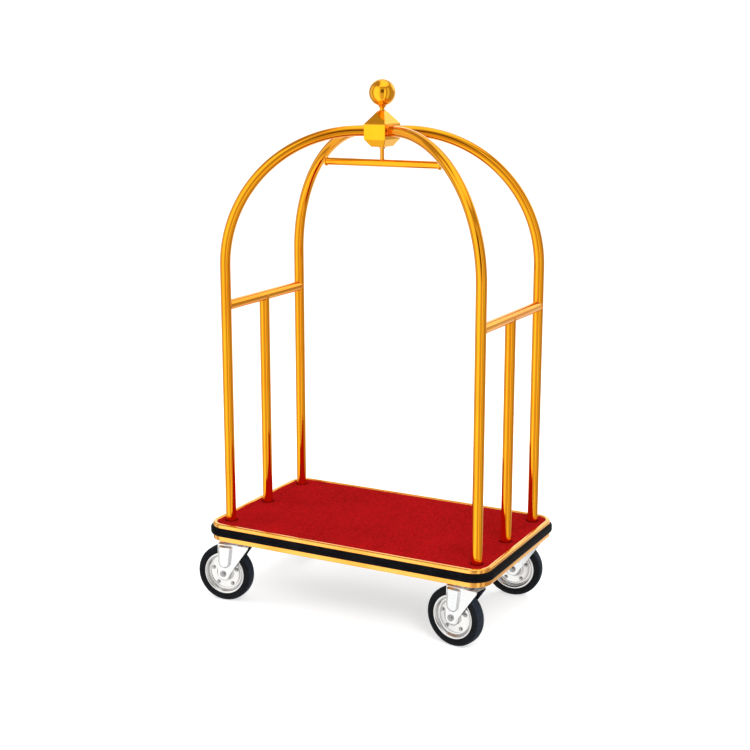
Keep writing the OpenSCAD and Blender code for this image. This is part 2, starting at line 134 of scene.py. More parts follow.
def mirrored(outline):
    """The same outline below the wheel's middle plane, so that the two make one outline."""
    return [(r, -h) for r, h in reversed(outline)]


def fillet(corners, steps=6):
    """A closed outline from (x, y, radius) corners, with each corner rounded by an arc."""
    made = []
    n = len(corners)
    for i, (x, y, r) in enumerate(corners):
        here = Vector((x, y))
        before = (Vector(corners[i - 1][:2]) - here).normalized()
        after = (Vector(corners[(i + 1) % n][:2]) - here).normalized()
        half = before.angle(after) / 2
        if r <= 0 or half > math.radians(89):
            made.append((x, y))
            continue
        centre = here + (before + after).normalized() * (r / math.sin(half))
        a, b = (here + side * (r / math.tan(half)) - centre for side in (before, after))
        turn = math.atan2(a.x * b.y - a.y * b.x, a.dot(b))
        for k in range(steps + 1):
            t = turn * k / steps
            made.append((centre.x + a.x * math.cos(t) - a.y * math.sin(t),
                         centre.y + a.x * math.sin(t) + a.y * math.cos(t)))
    return made


def loft(rings, around=True, along=False, caps=False):
    """Quads between rings of equal length. around closes each ring, and along closes the row of rings."""
    n = len(rings[0])
    points = [p for ring in rings for p in ring]
    faces = []
    for i in range(len(rings) if along else len(rings) - 1):
        here, there = i * n, (i + 1) % len(rings) * n
        for j in range(n if around else n - 1):
            k = (j + 1) % n
            faces.append([here + j, here + k, there + k, there + j])
    if caps:
        faces += [list(range(n))[::-1], [len(points) - n + j for j in range(n)]]
    return points, faces


def lathe(profile, segments, closed=False):
    """Turns (radius, height) points about local Z. turned holds each point's radius, angle and height."""
    points, turned, rows = [], [], []
    for r, h in profile:
        if r < 1e-6:
            rows.append([len(points)] * segments)
            points.append((0, 0, h))
            turned.append((0.0, 0.0, h))
            continue
        rows.append([len(points) + j for j in range(segments)])
        for j in range(segments):
            a = TAU * j / segments
            points.append((r * math.cos(a), r * math.sin(a), h))
            turned.append((r, a, h))
    faces = []
    for i in range(len(rows) if closed else len(rows) - 1):
        low, high = rows[i], rows[(i + 1) % len(rows)]
        for j in range(segments):
            k = (j + 1) % segments
            face = [low[j], low[k], high[k], high[j]]
            face = [v for n, v in enumerate(face) if v not in face[:n]]
            if len(face) > 2:
                faces.append(face)
    return points, faces, turned


def pipe(path, radius, sides=48, closed=False, caps=True):
    """A round bar along a path, with frames carried along it so that it doesn't twist."""
    path = [Vector(p) for p in path]
    n = len(path)
    ways = []
    for i in range(n):
        a, b = path[i - 1 if closed or i else 0], path[(i + 1) % n if closed or i < n - 1 else i]
        ways.append((b - a).normalized())
    side = ways[0].orthogonal().normalized()
    rings = []
    for point, way in zip(path, ways):
        side = (side - way * side.dot(way)).normalized()
        up = way.cross(side)
        turns = [TAU * j / sides for j in range(sides)]
        rings.append([point + radius * (math.cos(a) * side + math.sin(a) * up) for a in turns])
    return loft(rings, along=closed, caps=caps and not closed)


def edge_sweep(profile, steps=18):
    """Sweeps a closed (inset, height) outline round the platform's rounded rectangle."""
    length, width = HALF_L - CORNER_R, HALF_W - CORNER_R
    rings = []
    for k, (sx, sy) in enumerate(((1, 1), (-1, 1), (-1, -1), (1, -1))):
        for i in range(steps + 1):
            a = math.radians(90 * k + 90 * i / steps)
            rings.append([(sx * length + (CORNER_R - inset) * math.cos(a),
                           sy * width + (CORNER_R - inset) * math.sin(a), z) for inset, z in profile])
    return loft(rings, along=True)


def hexagon(across_r, height, dome=0.0):
    """A bolt head or nut standing on z = 0, with the usual turned chamfer on its top corners."""
    flat = across_r * math.cos(math.pi / 6)
    sides = 36
    lower, upper, crown, centre = [], [], [], []
    for j in range(sides):
        a = TAU * j / sides
        r = flat / math.cos((a % (TAU / 6)) - TAU / 12)
        drop = (r - flat * 0.98) * 0.55
        lower.append((r * math.cos(a), r * math.sin(a), 0.0))
        upper.append((r * math.cos(a), r * math.sin(a), height - drop))
        crown.append((flat * 0.93 * math.cos(a), flat * 0.93 * math.sin(a), height))
        centre.append((flat * 0.5 * math.cos(a), flat * 0.5 * math.sin(a), height + dome))
    return loft([lower, upper, crown, centre], caps=True)


def box_points(lo, hi):
    points = [(x, y, z) for z in (lo[2], hi[2]) for x, y in
              ((lo[0], lo[1]), (hi[0], lo[1]), (hi[0], hi[1]), (lo[0], hi[1]))]
    faces = [[3, 2, 1, 0], [4, 5, 6, 7]] + [[j, (j + 1) % 4, (j + 1) % 4 + 4, j + 4] for j in range(4)]
    return points, faces


def bevel(piece, width, segments=3, angle=30):
    """Rounds a piece's hard edges, as a modifier, so that they catch the light."""
    modifier = piece.modifiers.new("edge_round", "BEVEL")
    modifier.width = width
    modifier.segments = segments
    modifier.limit_method = "ANGLE"
    modifier.angle_limit = math.radians(angle)
    modifier.harden_normals = True
    return piece


# ---- material helpers ----

class Finish:
    """A material on one Principled shader, with short calls for the textures that drive it."""

    def __init__(self, name, **settings):
        self.material = bpy.data.materials.new(name)
        self.material.use_nodes = True
        self.tree = self.material.node_tree
        self.shader = self.tree.nodes["Principled BSDF"]
        for socket, value in settings.items():
            self.shader.inputs[socket.replace("_", " ").title().replace("Ior", "IOR")].default_value = value
        self.coords = self.node("ShaderNodeTexCoord").outputs["Object"]

    def node(self, kind, **settings):
        made = self.tree.nodes.new(kind)
        for key, value in settings.items():
            setattr(made, key, value)
        return made

    def link(self, a, b):
        self.tree.links.new(a, b)

    def stretched(self, scale, source=None):
        """The coordinates, scaled along each axis."""
        mapping = self.node("ShaderNodeMapping")
        mapping.inputs["Scale"].default_value = scale
        self.link(source or self.coords, mapping.inputs["Vector"])
        return mapping.outputs["Vector"]

    def attribute(self, name, output="Vector"):
        return self.node("ShaderNodeAttribute", attribute_name=name).outputs[output]

    def noise(self, scale, detail=3.0, roughness=0.55, source=None):
        made = self.node("ShaderNodeTexNoise")
        made.inputs["Scale"].default_value = scale
        made.inputs["Detail"].default_value = detail
        made.inputs["Roughness"].default_value = roughness
        self.link(source or self.coords, made.inputs["Vector"])
        return made.outputs["Fac"]

    def cells(self, scale, output="Color"):
        made = self.node("ShaderNodeTexVoronoi")
        made.inputs["Scale"].default_value = scale
        self.link(self.coords, made.inputs["Vector"])
        return made.outputs[output]

    def spread(self, value, low, high, from_low=0.3, from_high=0.7):
        """Maps a texture's middle range on to low..high."""
        made = self.node("ShaderNodeMapRange")
        limits = {"From Min": from_low, "From Max": from_high, "To Min": low, "To Max": high}
        for socket, number in limits.items():
            made.inputs[socket].default_value = number
        self.link(value, made.inputs["Value"])
        return made.outputs["Result"]

    def math(self, operation, a, b):
        made = self.node("ShaderNodeMath", operation=operation)
        for socket, value in zip(made.inputs, (a, b)):
            if isinstance(value, (int, float)):
                socket.default_value = value
            else:
                self.link(value, socket)
        return made.outputs[0]

    def mix(self, factor, a, b, blend="MIX"):
        made = self.node("ShaderNodeMix", data_type="RGBA", blend_type=blend)
        for socket, value in zip((made.inputs[0], made.inputs[6], made.inputs[7]), (factor, a, b)):
            if isinstance(value, (int, float)):
                socket.default_value = value
            elif isinstance(value, tuple):
                socket.default_value = (*value, 1.0)
            else:
                self.link(value, socket)
        return made.outputs[2]

    def bump(self, height, strength, distance, before=None):
        made = self.node("ShaderNodeBump")
        made.inputs["Strength"].default_value = strength
        made.inputs["Distance"].default_value = distance
        self.link(height, made.inputs["Height"])
        if before:
            self.link(before, made.inputs["Normal"])
        return made.outputs["Normal"]

    def edge_wear(self, low=0.53, high=0.60):
        """A broken mask along sharp outer edges, where hands, cases and door frames rub."""
        edge = self.spread(self.node("ShaderNodeNewGeometry").outputs["Pointiness"], 0.0, 1.0, low, high)
        return self.math("MULTIPLY", edge, self.spread(self.noise(70.0, 5.0, 0.7), 0.15, 1.0, 0.35, 0.6))

    def set(self, socket, value):
        self.link(value, self.shader.inputs[socket])
        return self


def gold(name, bright, deep, smooth, dull, ripple=0.05):
    """Polished gold plating under a thin lacquer, with colour drift, polishing haze and a faint waviness."""
    f = Finish(name, metallic=1.0, coat_weight=0.12, coat_roughness=0.04, coat_ior=1.5)
    drift = f.noise(5.0, 4.0)
    haze = f.noise(38.0, 6.0, 0.65)
    smear = f.noise(9.0, 5.0, 0.6, f.stretched((1.0, 1.0, 0.25)))
    plate = f.mix(f.spread(f.math("MULTIPLY", drift, smear), 0.0, 1.0, 0.12, 0.42), bright, deep)
    worn = f.edge_wear()
    f.set("Base Color", f.mix(f.math("MULTIPLY", worn, 0.35), plate, (0.95, 0.62, 0.22)))
    f.set("Roughness", f.math("ADD", f.spread(f.math("MULTIPLY", haze, smear), smooth, dull, 0.12, 0.42),
                              f.math("MULTIPLY", worn, 0.12)))
    wave = f.bump(f.noise(16.0, 1.0), ripple, 2.0 * MM)
    f.set("Normal", f.bump(f.noise(2200.0, 2.0), 0.05, 0.05 * MM, wave))
    return f.material


def carpet_pile():
    """Short cut pile: each tuft has its own tone, painted shade darkens the gaps between tufts and the trodden
    pile round the posts, and the wear is uneven.
    """
    f = Finish("red_carpet", roughness=0.95, specular_ior_level=0.01, sheen_weight=0.035, sheen_roughness=0.5,
               sheen_tint=(1.0, 0.12, 0.12, 1.0))
    tuft = f.node("ShaderNodeSeparateColor")
    f.link(f.cells(230.0), tuft.inputs["Color"])
    thread = f.noise(620.0, 3.0, 0.7)
    traffic = f.noise(3.2, 4.0, 0.6)
    shade = f.mix(f.spread(tuft.outputs["Red"], 0.0, 1.0, 0.1, 0.9),
                  (0.32, 0.003, 0.003), (0.58, 0.007, 0.009))
    shade = f.mix(f.spread(thread, 0.0, 0.55), shade, (0.19, 0.002, 0.002))
    shade = f.mix(f.spread(traffic, 0.0, 0.45, 0.35, 0.7), shade, (0.62, 0.007, 0.010))
    # Painted shade: darkens the valleys between tufts, the pressed pile round the posts and the carpet's sides
    f.set("Base Color", f.mix(f.attribute("pile_painted_shade", "Fac"), shade, (0.05, 0.001, 0.001)))
    fibre = f.bump(thread, 0.55, 0.8 * MM)
    f.set("Normal", f.bump(f.noise(2600.0, 2.0, 0.8), 0.5, 0.3 * MM, fibre))
    return f.material


def rubber(name, base, scuffed, smooth, dull):
    """Moulded black rubber with a fine grain, a faint bloom and light scuffs."""
    f = Finish(name, specular_ior_level=0.015)
    bloom = f.noise(14.0, 5.0, 0.6)
    scuff = f.noise(180.0, 4.0, 0.75, f.stretched((0.35, 0.35, 1.0)))
    skin = f.mix(f.spread(f.math("MULTIPLY", bloom, scuff), 0.0, 1.0, 0.2, 0.5), base, scuffed)
    f.set("Base Color", f.mix(f.math("MULTIPLY", f.edge_wear(0.52, 0.58), 0.5), skin, (0.035, 0.034, 0.033)))
    f.set("Roughness", f.spread(bloom, smooth, dull))
    grain = f.bump(f.noise(1500.0, 2.0, 0.7), 0.25, 0.12 * MM)
    f.set("Normal", f.bump(scuff, 0.10, 0.3 * MM, grain))
    return f.material


def tyre_rubber():
    """Tyre rubber: satin sidewalls with moulded rings, and a greyer, rougher tread where it rolls, whose blue-grey
    colour is partly dust and partly painted sheen.
    """
    f = Finish("tyre_rubber", specular_ior_level=0.06)
    rolled = f.attribute("tread", "Fac")
    dust = f.noise(60.0, 6.0, 0.7)
    # Blue-grey tread colour: partly dust, partly a painted sheen
    dust_and_sheen = f.math("MULTIPLY", rolled, f.spread(dust, 0.25, 1.0))
    clean = f.mix(f.spread(f.noise(20.0, 4.0), 0.0, 1.0), (0.0035, 0.0038, 0.0048), (0.007, 0.008, 0.010))
    f.set("Base Color", f.mix(dust_and_sheen, clean, (0.020, 0.026, 0.040)))
    f.set("Roughness", f.math("ADD", f.spread(dust, 0.36, 0.46), f.math("MULTIPLY", rolled, 0.22)))
    rings = f.noise(1.0, 1.0, 0.5, f.stretched((900.0, 0.0, 0.0), f.attribute("turned")))
    moulded = f.bump(rings, 0.15, 0.25 * MM)
    f.set("Normal", f.bump(f.noise(1300.0, 3.0, 0.7), 0.3, 0.15 * MM, moulded))
    return f.material


def turned_steel():
    """Bright pressed steel, with the fine rings that turning and polishing leave about the axle."""
    f = Finish("wheel_steel", metallic=1.0)
    rings = f.noise(1.0, 3.0, 0.7, f.stretched((1500.0, 1.5, 260.0), f.attribute("turned")))
    haze = f.noise(24.0, 5.0, 0.6)
    f.set("Base Color", f.mix(f.spread(haze, 0.0, 1.0), (0.60, 0.61, 0.63), (0.69, 0.69, 0.70)))
    f.set("Roughness", f.math("ADD", f.spread(rings, 0.12, 0.22), f.spread(haze, 0.0, 0.08)))
    f.set("Normal", f.bump(rings, 0.10, 0.08 * MM))
    return f.material


def zinc(name, light, dark, smooth, dull):
    """Bright zinc plating: a faint crystal pattern, a cool and warm passivation tint, and fine scratches."""
    f = Finish(name, metallic=1.0)
    crystal = f.cells(120.0, "Distance")
    tint = f.noise(11.0, 3.0)
    scratch = f.noise(260.0, 4.0, 0.8, f.stretched((1.0, 1.0, 0.12)))
    tinted = f.mix(f.spread(tint, 0.0, 1.0), light, (light[0] * 0.95, light[1] * 0.98, light[2] * 1.02))
    worn = f.edge_wear()
    plate = f.mix(f.spread(crystal, 0.0, 0.3, 0.1, 0.7), tinted, dark)
    f.set("Base Color", f.mix(f.math("MULTIPLY", worn, 0.5), plate, (0.80, 0.79, 0.77)))
    f.set("Roughness", f.math("ADD", f.spread(crystal, smooth, dull, 0.0, 0.8), f.spread(scratch, 0.0, 0.04)))
    f.set("Normal", f.bump(scratch, 0.02, 0.08 * MM))
    return f.material


def turned_bar():
    """Plain turned steel, with tool marks."""
    f = Finish("steel_inserts", metallic=1.0)
    marks = f.noise(420.0, 3.0, 0.7, f.stretched((0.3, 0.3, 2.0)))
    f.set("Base Color", f.mix(f.spread(marks, 0.0, 1.0), (0.42, 0.43, 0.45), (0.56, 0.57, 0.58)))
    f.set("Roughness", f.spread(marks, 0.28, 0.42))
    f.set("Normal", f.bump(marks, 0.12, 0.1 * MM))
    return f.material


def powder_coat():
    """Black powder coat with its orange-peel skin and a little dust."""
    f = Finish("steel_plate", specular_ior_level=0.5)
    dust = f.noise(9.0, 6.0, 0.65)
    f.set("Base Color", f.mix(f.spread(dust, 0.0, 1.0), (0.020, 0.020, 0.022), (0.050, 0.049, 0.047)))
    f.set("Roughness", f.spread(dust, 0.42, 0.6))
    f.set("Normal", f.bump(f.noise(420.0, 1.0), 0.3, 0.2 * MM))
    return f.material


def plywood():
    """Sealed plywood: plies show as bands up the edge, and grain runs along the board."""
    f = Finish("plywood", specular_ior_level=0.4)
    grain = f.noise(26.0, 7.0, 0.65, f.stretched((0.12, 1.0, 1.0)))
    plies = f.node("ShaderNodeTexWave", wave_type="BANDS", bands_direction="Z")
    plies.inputs["Scale"].default_value = 33.0
    plies.inputs["Distortion"].default_value = 0.6
    f.link(f.coords, plies.inputs["Vector"])
    wood = f.mix(f.spread(grain, 0.0, 1.0), (0.34, 0.20, 0.10), (0.58, 0.40, 0.23))
    f.set("Base Color", f.mix(f.math("MULTIPLY", plies.outputs["Fac"], 0.45), wood, (0.22, 0.12, 0.06)))
    f.set("Roughness", f.spread(grain, 0.5, 0.7))
    f.set("Normal", f.bump(grain, 0.25, 0.3 * MM))
    return f.material


GOLD_BRIGHT = (0.94, 0.405, 0.013)
GOLD_DEEP = (0.88, 0.32, 0.007)
FINISHES = {
    "gold_tube": gold("gold_tube", GOLD_BRIGHT, GOLD_DEEP, 0.05, 0.12),
    "gold_trim": gold("gold_trim", (0.97, 0.50, 0.110), (0.93, 0.40, 0.065), 0.09, 0.17),
    "gold_cast": gold("gold_cast", (0.98, 0.50, 0.006), (0.94, 0.40, 0.006), 0.08, 0.15, ripple=0.08),
    "gold_ball": gold("gold_ball", (0.97, 0.47, 0.02), (0.93, 0.40, 0.012), 0.03, 0.07, ripple=0.02),
    "gold_fasteners": gold("gold_fasteners", (0.80, 0.40, 0.06), (0.62, 0.27, 0.03), 0.16, 0.28),
    "red_carpet": carpet_pile(),
    "bumper_rubber": rubber("bumper_rubber", (0.003, 0.003, 0.004), (0.010, 0.010, 0.011), 0.30, 0.44),
    "tyre_rubber": tyre_rubber(),
    "zinc_forks": zinc("zinc_forks", (0.72, 0.73, 0.75), (0.66, 0.68, 0.70), 0.18, 0.26),
    "wheel_steel": turned_steel(),
    "zinc_fasteners": zinc("zinc_fasteners", (0.40, 0.40, 0.41), (0.28, 0.28, 0.29), 0.26, 0.42),
    "steel_inserts": turned_bar(),
    "steel_plate": powder_coat(),
    "plywood": plywood(),
}


def finish_cad_node(node, slot):
    """Gives a carried-over CAD node its material."""
    slots = frame["nodes"][node].data.materials
    if not slots:
        slots.append(FINISHES[slot])
    for i in range(len(slots)):
        slots[i] = FINISHES[slot]


for row in frame["record"]["subparts"]:
    finish_cad_node(row["node"], row["material_slot"])


# ---- places that the frame gives ----

def middle(node):
    lo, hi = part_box(node)
    return (lo + hi) / 2


def joint(name):
    return next(j for j in frame["joints"] if j["name"] == name)


bumper_lo, bumper_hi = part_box("bumper")
HALF_L, HALF_W = bumper_hi.x, bumper_hi.y
LIP_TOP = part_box("top_trim")[1].z
CARPET_LO, CARPET_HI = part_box("carpet")
SKIRT_LO, SKIRT_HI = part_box("bottom_trim")
TUBE_R = (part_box("mid_post_right")[1].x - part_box("mid_post_right")[0].x) / 2
POST_X = middle("mid_post_right").x
POST_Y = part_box("post_rear_right")[1].y - TUBE_R
POST_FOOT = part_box("post_rear_right")[0].z
ARCH_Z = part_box("post_rear_right")[1].z - TUBE_R
BEND_Z = ARCH_Z - BEND_R
BAR_Z = middle("crossbar_right").z
DIAGONAL = math.hypot(POST_X, POST_Y)


# ---- platform ----

def make_carpet():
    """A relief of tufts: a peak at every second point, valleys between with painted shade, trodden flat at the
    posts with painted shade round them.
    """
    random.seed(11)
    pitch = 2.65 * MM
    crown_z = CARPET_HI.z + 0.6 * MM
    tuft_h, edge_drop = 2.0 * MM, 2.6 * MM
    press_h, press_reach = 2.2 * MM, 7 * MM
    posts_from_x = 0.42   # nearer the middle than this, no post is near
    half_l, half_w = CARPET_HI.x, CARPET_HI.y
    corner = CORNER_R - (HALF_L - half_l)
    columns, rows = 2 * round(half_l / pitch), 2 * round(half_w / pitch)
    feet = [(sx * POST_X, y) for sx in (-1, 1) for y in (-POST_Y, 0, POST_Y)]
    points, painted_shades = [], []
    for j in range(rows + 1):
        y = half_w * (2 * j / rows - 1)
        over = max(0.0, abs(y) - (half_w - corner))
        reach = half_l - corner + math.sqrt(max(0.0, corner * corner - over * over))
        for i in range(columns + 1):
            x = reach * (2 * i / columns - 1)
            edge = i in (0, columns) or j in (0, rows)
            peak = i % 2 and j % 2
            low = random.uniform(0.0, 0.28) if peak else random.uniform(0.62, 1.0)
            if not edge:
                x += random.uniform(-0.3, 0.3) * pitch
            near = 1.0
            if abs(x) > posts_from_x:
                near = min(math.hypot(x - fx, y - fy) for fx, fy in feet) - TUBE_R
            pressed = max(0.0, 1 - max(near, 0.0) / press_reach)
            depth = edge_drop if edge else 0.4 * MM + tuft_h * low + press_h * pressed
            points.append((x, y if edge else y + random.uniform(-0.3, 0.3) * pitch, crown_z - depth))
            # Painted shade for each point: darker the deeper its valley and the nearer a post
            painted_shades.append(min(1.0, 0.75 * low + 0.8 * pressed))
    width = columns + 1
    faces = [[j * width + i, j * width + i + 1, (j + 1) * width + i + 1, (j + 1) * width + i]
             for j in range(rows) for i in range(columns)]
    rim = ([i for i in range(columns)] + [j * width + columns for j in range(rows)]
           + [rows * width + i for i in range(columns, 0, -1)] + [j * width for j in range(rows, 0, -1)])
    start, count = len(points), len(rim)
    points += [(points[k][0], points[k][1], CARPET_LO.z) for k in rim]
    # The carpet's sides get full painted shade
    painted_shades += [1.0] * count
    faces += [[rim[(n + 1) % count], rim[n], start + n, start + (n + 1) % count] for n in range(count)]
    faces.append([start + n for n in range(count)][::-1])
    make_piece("carpet_pile", points, faces, "red_carpet", replaces=["carpet"], sharp=180,
               values={"pile_painted_shade": painted_shades})


def edge_strip(name, slot, node, outline, steps):
    """One strip round the platform's edge, from its (inset, height, corner radius) outline."""
    strip = Shape()
    strip.add(*edge_sweep(fillet(outline, steps)))
    strip.piece(name, slot, replaces=[node])


def make_trims():
    """The gold edges above and below, and the rubber bumper between them, with its two fine grooves."""
    back, lip_end = LIP_INSET + 8 * MM, LIP_INSET + LIP_WIDTH
    low, high = bumper_lo.z, bumper_hi.z
    foot = CARPET_LO.z + 0.4 * MM
    edge_strip("upper_lip", "gold_trim", "top_trim", [
        (LIP_INSET, high + 0.2 * MM, 0.6 * MM), (LIP_INSET, LIP_TOP, 7 * MM), (lip_end, LIP_TOP, 6 * MM),
        (lip_end, foot, 0), (back, foot, 0), (back, high + 0.2 * MM, 0),
    ], 9)
    groove = [(0, 14.0 * MM, 0.4 * MM), (0.7 * MM, 13.3 * MM, 0.3 * MM), (0, 12.6 * MM, 0.4 * MM)]
    edge_strip("rubber_buffer", "bumper_rubber", "bumper", [
        (14 * MM, low + 0.1 * MM, 0), (0, low + 0.1 * MM, 8 * MM),
        *[(inset, low + z, r) for inset, z, r in reversed(groove)],
        *[(inset, high - z, r) for inset, z, r in groove],
        (0, high - 0.1 * MM, 8 * MM), (14 * MM, high - 0.1 * MM, 0),
    ], 7)
    wall, flange_end = 2.5 * MM, 40 * MM
    inner = LIP_INSET + wall
    low, high = SKIRT_LO.z, SKIRT_HI.z
    edge_strip("lower_lip", "gold_trim", "bottom_trim", [
        (LIP_INSET, high, 0.4 * MM), (LIP_INSET, low, 2.4 * MM), (back, low, 1.0 * MM),
        (back, low + wall, 1.0 * MM), (inner, low + wall, 1.5 * MM), (inner, high - wall, 1.5 * MM),
        (flange_end, high - wall, 0.5 * MM), (flange_end, high, 0.5 * MM),
    ], 6)


# ---- cage ----

def saddle(radius, angle):
    """How far a tube stops short of another's middle line, at an angle round it, to sit on its round face."""
    across = radius * math.cos(angle)
    return math.sqrt(max(0.0, radius * radius - across * across))


def weld_bead(shape, points, radius=1.5 * MM):
    shape.add(*pipe(points, radius, sides=8, closed=True))


def make_post(node, sx, sy):
    """A straight post, a quarter bend in its diagonal plane, and a short run into the hub."""
    outward = Vector((sx * POST_X, sy * POST_Y, 0)).normalized()
    sideways = Vector((-outward.y, outward.x, 0))
    inner = DIAGONAL - BEND_R

    def place(out, z):
        return outward * out + Vector((0, 0, z))

    path = [place(DIAGONAL, POST_FOOT + (BEND_Z - POST_FOOT) * i / 24) for i in range(24)]
    for i in range(65):
        a = math.pi / 2 * i / 64
        path.append(place(inner + BEND_R * math.cos(a), BEND_Z + BEND_R * math.sin(a)))
    path += [place(inner - (inner - HUB_RUN_END) * i / 3, ARCH_Z) for i in range(1, 4)]
    shape = Shape()
    shape.add(*pipe(path, TUBE_R, sides=64))
    # The bead runs where the round tube meets the flat end face of the hub
    hub_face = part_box("hub_cap")[1].x
    bead = []
    for i in range(48):
        a = TAU * i / 48
        rim = sideways * (TUBE_R * math.cos(a)) + Vector((0, 0, TUBE_R * math.sin(a)))
        bead.append(place((sx * hub_face - rim.x) / outward.x, ARCH_Z) + rim)
    weld_bead(shape, bead, 1.3 * MM)
    shape.piece(node + "_tube", "gold_tube", replaces=[node])


def make_end_frame(side, sx):
    """A crossbar and the middle post under it, each coped to the round tube that it meets."""
    angles = [TAU * j / 64 for j in range(64)]

    def bar_ring(t):
        """The crossbar's outline on its way from the front post, at -1, to the rear one, at 1."""
        return [(sx * POST_X + TUBE_R * math.cos(a), t * (POST_Y - saddle(TUBE_R, a)),
                 BAR_Z + TUBE_R * math.sin(a)) for a in angles]

    def post_ring(t):
        """The middle post's outline on its way from its foot, at 0, to the crossbar, at 1."""
        return [(sx * POST_X + TUBE_R * math.cos(a), TUBE_R * math.sin(a),
                 POST_FOOT + (BAR_Z - saddle(TUBE_R, a) - POST_FOOT) * t) for a in angles]

    bar, post = Shape(), Shape()
    bar.add(*loft([bar_ring(2 * i / 12 - 1) for i in range(13)]))
    for t in (-1, 1):
        weld_bead(bar, bar_ring(t))
    bar.piece(f"crossbar_{side}_tube", "gold_tube", replaces=[f"crossbar_{side}"])
    post.add(*loft([post_ring(i / 16) for i in range(17)]))
    weld_bead(post, post_ring(1))
    post.piece(f"mid_post_{side}_tube", "gold_tube", replaces=[f"mid_post_{side}"])


# ---- hub, finial and rail ----

def box_rings(*levels):
    """Rectangular rings about the hub's middle, from ((half length, half width), height) pairs."""
    return [[(hx, hy, z), (-hx, hy, z), (-hx, -hy, z), (hx, -hy, z)] for (hx, hy), z in levels]


def make_hub():
    """The block, which narrows below its upright faces, and the pyramid on it."""
    cap_lo, cap_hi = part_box("hub_cap")
    half = (cap_hi.x, cap_hi.y)
    foot, tip = (half[0] * 0.6, half[1] * 0.6), (12 * MM, 12 * MM)
    block = Shape()
    block.add(*loft(box_rings((foot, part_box("hub_block")[0].z), (half, cap_lo.z - HUB_SIDE_H),
                              (half, cap_lo.z - 0.2 * MM)), caps=True))
    bevel(block.piece("hub_casting", "gold_cast", replaces=["hub_block"], sharp=20), 1.8 * MM, 4)
    cap = Shape()
    cap.add(*loft(box_rings((half, cap_lo.z), (tip, cap_hi.z)), caps=True))
    bevel(cap.piece("hub_pyramid", "gold_cast", replaces=["hub_cap"], sharp=20), 1.5 * MM, 4)


def make_finial():
    """The waisted collar, and the ball on it, whose outline starts at its flat foot."""
    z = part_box("finial_neck")[0].z
    collar = [(0, 0), (11, 0), (11.6, 0.6), (11.6, 1.6), (10.4, 2.6), (8.8, 3.4), (8.0, 5.2), (7.9, 7.5),
              (8.6, 10.0), (10.6, 12.6), (13.2, 15.0), (13.6, 16.0), (13.0, 17.0), (0, 17.5)]
    neck = Shape()
    neck.turn([(r, z + h) for r, h in in_mm(collar)], 64)
    neck.piece("finial_collar", "gold_cast", replaces=["finial_neck"])
    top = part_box("finial_ball")[1]
    ball_r = top.x
    centre = top.z - ball_r
    first = math.asin(9 * MM / ball_r)
    outline = [(6.6 * MM, centre - ball_r + 3.0 * MM)]
    for i in range(61):
        a = first + (math.pi - first) * i / 60
        outline.append((ball_r * math.sin(a) if i < 60 else 0, centre - ball_r * math.cos(a)))
    ball = Shape()
    ball.turn(outline, 96)
    ball.piece("finial_globe", "gold_ball", replaces=["finial_ball"])


def make_rail():
    """The garment rail with its end knobs, and the rod and nut that hang it from the hub."""
    rail_lo, rail_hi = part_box("garment_rail")
    nut_lo, nut_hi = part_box("rod_nut")
    caps_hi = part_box("rail_end_caps")[1]
    rail_r, rod_r, knob_r = rail_hi.y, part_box("hanger_rod")[1].x, caps_hi.y
    z = (rail_lo.z + rail_hi.z) / 2
    rail = Shape()
    rail.add(*pipe([(rail_lo.x + (rail_hi.x - rail_lo.x) * i / 40, 0, z) for i in range(41)], rail_r, 56))
    bead = []
    for i in range(40):
        a = TAU * i / 40
        x, y = rod_r * math.cos(a), rod_r * math.sin(a)
        bead.append(Vector((x, y, z + math.sqrt(rail_r ** 2 - y ** 2))))
    weld_bead(rail, bead, 1.4 * MM)
    rail.piece("rail_tube", "gold_tube", replaces=["garment_rail"])
    rod = Shape()
    rod.turn([(rod_r, z), (rod_r, nut_hi.z + 1 * MM), (0, nut_hi.z + 1 * MM)], 48)
    rod.piece("rail_rod", "gold_tube", replaces=["hanger_rod"])
    nut = Shape()
    nut.add(*hexagon((nut_hi.x - nut_lo.x) / 2, nut_hi.z - nut_lo.z - 1.2 * MM),
            transform=Matrix.Translation((0, 0, nut_hi.z)) @ Matrix.Diagonal((1, -1, -1, 1)))
    nut.piece("rail_rod_nut", "gold_fasteners", replaces=["rod_nut"])
    # Each knob: a plug inside the tube, a rounded collar against its end, and a low dome
    plug_r, dome_r, collar_t = rail_r - 1.6 * MM, rail_r - 1.0 * MM, 6 * MM
    dome_h = caps_hi.x - rail_hi.x - collar_t - 0.6 * MM
    outline = [(0, -6 * MM), (plug_r, -6 * MM), (plug_r, 0), (knob_r - 1.2 * MM, 0),
               (knob_r - 0.35 * MM, 0.35 * MM), (knob_r, 1.2 * MM), (knob_r, collar_t - 1.4 * MM),
               (knob_r - 0.4 * MM, collar_t - 0.4 * MM), (knob_r - 1.4 * MM, collar_t),
               (dome_r, collar_t + 0.4 * MM)]
    for i in range(11):
        a = math.pi / 2 * i / 10
        outline.append((dome_r * math.cos(a) if i < 10 else 0, collar_t + 0.6 * MM + dome_h * math.sin(a)))
    ends = Shape()
    for s in (-1, 1):
        place = Matrix.Translation((s * rail_hi.x, 0, z))
        ends.turn(outline, 56, place @ Matrix.Rotation(s * math.pi / 2, 4, "Y"))
    ends.piece("rail_end_knobs", "gold_cast", replaces=["rail_end_caps"])


# ---- casters ----

